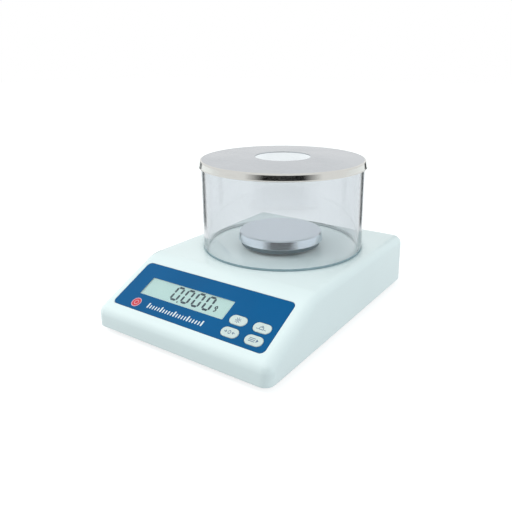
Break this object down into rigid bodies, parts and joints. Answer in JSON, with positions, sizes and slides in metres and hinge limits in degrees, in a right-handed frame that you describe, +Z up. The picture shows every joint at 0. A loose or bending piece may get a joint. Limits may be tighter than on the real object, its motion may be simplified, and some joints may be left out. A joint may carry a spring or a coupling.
{
  "type": "electronic balance",
  "caption": "Electronic balance with a sloping key and display panel, a round weighing pan inside a glass cylinder windshield with a steel lid, and levelling feet.",
  "frame": {"origin": "on the ground under the middle of the housing", "axes": "+Z up, -Y towards the display and keys, +X to the right for someone facing them"},
  "size_m": [0.178, 0.245, 0.1368],
  "materials": {
    "white_plastic": "semi-gloss moulded plastic, white with a cool cast",
    "grey_plastic": "fine-textured moulded plastic",
    "black_plastic": "satin moulded plastic",
    "black_rubber": "matte rubber",
    "clear_glass": "clear, polished edges",
    "brushed_steel": "brushed stainless steel",
    "aluminium": "satin machined aluminium",
    "zinc_steel": "bright zinc plating",
    "panel_blue": "fine-grained blue overlay",
    "key_white": "satin key caps",
    "display_green": "grey-green display",
    "board_green": "solder mask",
    "cable_grey": "matte cable sheath"
  },
  "bodies": {
    "base": {"upper_housing": "white_plastic", "base_plate": "grey_plastic", "housing_screw_1": "zinc_steel", "housing_screw_2": "zinc_steel", "housing_screw_3": "zinc_steel", "housing_screw_4": "zinc_steel", "load_cell": "aluminium", "cell_pedestal": "aluminium", "cell_bolt_1": "zinc_steel", "cell_bolt_2": "zinc_steel", "overload_stop": "zinc_steel", "panel_overlay": "panel_blue", "display_window": "clear_glass", "dome_tare": "zinc_steel", "dome_backlight": "zinc_steel", "dome_mode": "zinc_steel", "dome_cal": "zinc_steel", "lcd_panel": "display_green", "lcd_frame": "black_plastic", "display_board": "board_green", "board_screw_1": "zinc_steel", "board_screw_2": "zinc_steel", "board_screw_3": "zinc_steel", "board_screw_4": "zinc_steel", "main_board": "board_green", "shield_can": "zinc_steel", "main_board_screw_1": "zinc_steel", "main_board_screw_2": "zinc_steel", "main_board_screw_3": "zinc_steel", "main_board_screw_4": "zinc_steel", "power_jack": "black_plastic", "power_switch": "black_plastic", "ribbon_cable": "cable_grey", "gauge_leads": "cable_grey", "power_leads": "black_rubber"},
    "load_carrier": {"load_plate": "zinc_steel", "spindle": "zinc_steel", "cell_bolt_3": "zinc_steel", "cell_bolt_4": "zinc_steel"},
    "support": {"pan_support": "aluminium", "pan_pad_1": "black_rubber", "pan_pad_2": "black_rubber", "pan_pad_3": "black_rubber"},
    "pan": {"weighing_pan": "brushed_steel"},
    "windshield": {"windshield_glass": "clear_glass"},
    "lid": {"windshield_lid": "brushed_steel"},
    "key_tare": {"key_tare": "key_white"},
    "key_backlight": {"key_backlight": "key_white"},
    "key_mode": {"key_mode": "key_white"},
    "key_cal": {"key_cal": "key_white"},
    "rocker": {"power_rocker": "black_plastic"},
    "foot_pad_1": {"foot_pad_1": "black_rubber"},
    "foot_screw_1": {"foot_screw_1": "black_plastic"},
    "foot_pad_2": {"foot_pad_2": "black_rubber"},
    "foot_screw_2": {"foot_screw_2": "black_plastic"},
    "foot_pad_3": {"foot_pad_3": "black_rubber"},
    "foot_screw_3": {"foot_screw_3": "black_plastic"},
    "foot_pad_4": {"foot_pad_4": "black_rubber"},
    "foot_screw_4": {"foot_screw_4": "black_plastic"}
  },
  "joints": [
    {"name": "load_travel", "type": "slide", "parent": "base", "child": "load_carrier", "axis": [0, 0, -1], "range_m": [0, 0.0004], "stiffness_N_per_m": 15000, "springref_m": -0.00015, "deforming": ["load_cell"]},
    {"name": "support_lift", "type": "slide", "parent": "load_carrier", "child": "support", "axis": [0, 0, 1], "range_m": [0, 0.015]},
    {"name": "pan_lift", "type": "slide", "parent": "support", "child": "pan", "axis": [0, 0, 1], "range_m": [0, 0.02]},
    {"name": "windshield_lift", "type": "slide", "parent": "base", "child": "windshield", "axis": [0, 0, 1], "range_m": [0, 0.1]},
    {"name": "lid_lift", "type": "slide", "parent": "windshield", "child": "lid", "axis": [0, 0, 1], "range_m": [0, 0.03]},
    {"name": "tare_press", "type": "slide", "parent": "base", "child": "key_tare", "axis": [0, 0.4305, -0.9026], "range_m": [0, 0.0005], "stiffness_N_per_m": 1500, "springref_m": -0.0005},
    {"name": "backlight_press", "type": "slide", "parent": "base", "child": "key_backlight", "axis": [0, 0.4305, -0.9026], "range_m": [0, 0.0005], "stiffness_N_per_m": 1500, "springref_m": -0.0005},
    {"name": "mode_press", "type": "slide", "parent": "base", "child": "key_mode", "axis": [0, 0.4305, -0.9026], "range_m": [0, 0.0005], "stiffness_N_per_m": 1500, "springref_m": -0.0005},
    {"name": "cal_press", "type": "slide", "parent": "base", "child": "key_cal", "axis": [0, 0.4305, -0.9026], "range_m": [0, 0.0005], "stiffness_N_per_m": 1500, "springref_m": -0.0005},
    {"name": "power_rock", "type": "hinge", "parent": "base", "child": "rocker", "pos_m": [-0.041, 0.1175, 0.027], "axis": [0, 0, -1], "range_deg": [0, 24]},
    {"name": "foot_drop_1", "type": "slide", "parent": "base", "child": "foot_pad_1", "axis": [0, 0, -1], "range_m": [0, 0.004]},
    {"name": "foot_turn_1", "type": "hinge", "parent": "foot_pad_1", "child": "foot_screw_1", "pos_m": [-0.065, -0.0985, 0.004], "axis": [0, 0, -1], "range_deg": [0, 1440.5]},
    {"name": "foot_drop_2", "type": "slide", "parent": "base", "child": "foot_pad_2", "axis": [0, 0, -1], "range_m": [0, 0.004]},
    {"name": "foot_turn_2", "type": "hinge", "parent": "foot_pad_2", "child": "foot_screw_2", "pos_m": [0.065, -0.0985, 0.004], "axis": [0, 0, -1], "range_deg": [0, 1440.5]},
    {"name": "foot_drop_3", "type": "slide", "parent": "base", "child": "foot_pad_3", "axis": [0, 0, -1], "range_m": [0, 0.004]},
    {"name": "foot_turn_3", "type": "hinge", "parent": "foot_pad_3", "child": "foot_screw_3", "pos_m": [0.065, 0.0985, 0.004], "axis": [0, 0, -1], "range_deg": [0, 1440.5]},
    {"name": "foot_drop_4", "type": "slide", "parent": "base", "child": "foot_pad_4", "axis": [0, 0, -1], "range_m": [0, 0.004]},
    {"name": "foot_turn_4", "type": "hinge", "parent": "foot_pad_4", "child": "foot_screw_4", "pos_m": [-0.065, 0.0985, 0.004], "axis": [0, 0, -1], "range_deg": [0, 1440.5]}
  ],
  "couplings": [
    {"joint": "foot_turn_1", "follows": "foot_drop_1", "rad_per_m": 6283.2},
    {"joint": "foot_turn_2", "follows": "foot_drop_2", "rad_per_m": 6283.2},
    {"joint": "foot_turn_3", "follows": "foot_drop_3", "rad_per_m": 6283.2},
    {"joint": "foot_turn_4", "follows": "foot_drop_4", "rad_per_m": 6283.2}
  ]
}
